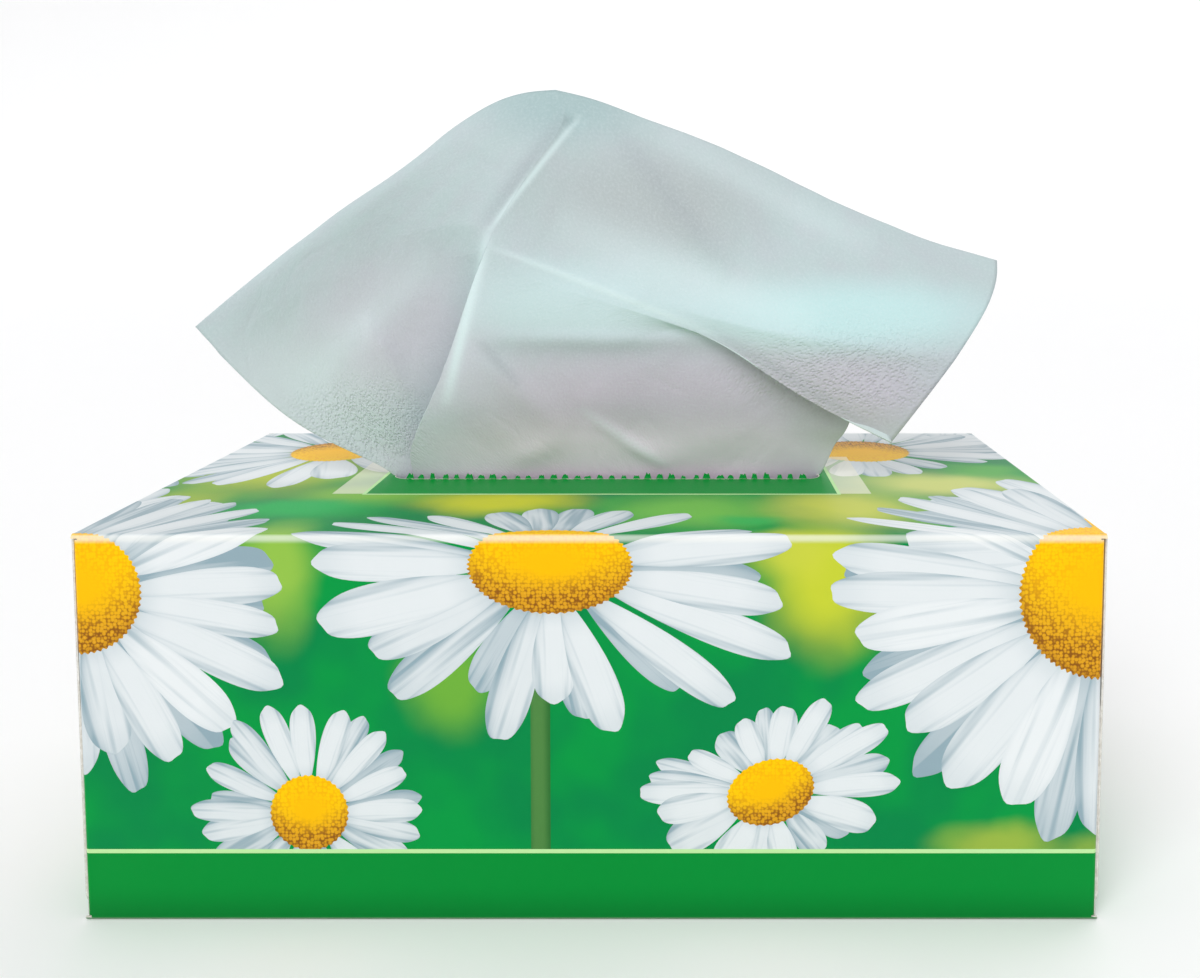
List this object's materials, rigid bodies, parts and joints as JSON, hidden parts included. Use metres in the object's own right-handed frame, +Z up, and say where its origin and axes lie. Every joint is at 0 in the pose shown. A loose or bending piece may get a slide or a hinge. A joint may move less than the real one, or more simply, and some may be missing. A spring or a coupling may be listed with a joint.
{
  "type": "tissue box",
  "caption": "Flat-topped folded carton of pop-up tissues with a torn perforated slot and one tissue standing up through it.",
  "frame": {"origin": "middle of the carton's underside, on the surface that it stands on", "axes": "+Z up out of the slot, X along the carton's length, +Y from the front panel to the back panel"},
  "size_m": [0.23, 0.115, 0.1935],
  "materials": {
    "printed_board": "satin-coated folding boxboard, printed green with white daisies outside and bare grey-white inside",
    "stacked_tissue": "soft matt three-ply tissue, interfolded",
    "open_tissue": "soft matt three-ply tissue, slightly see-through, fine embossing"
  },
  "bodies": {
    "root": {"carton": "printed_board", "tissue_block": "stacked_tissue", "leading_tissue": "open_tissue"}
  },
  "joints": []
}
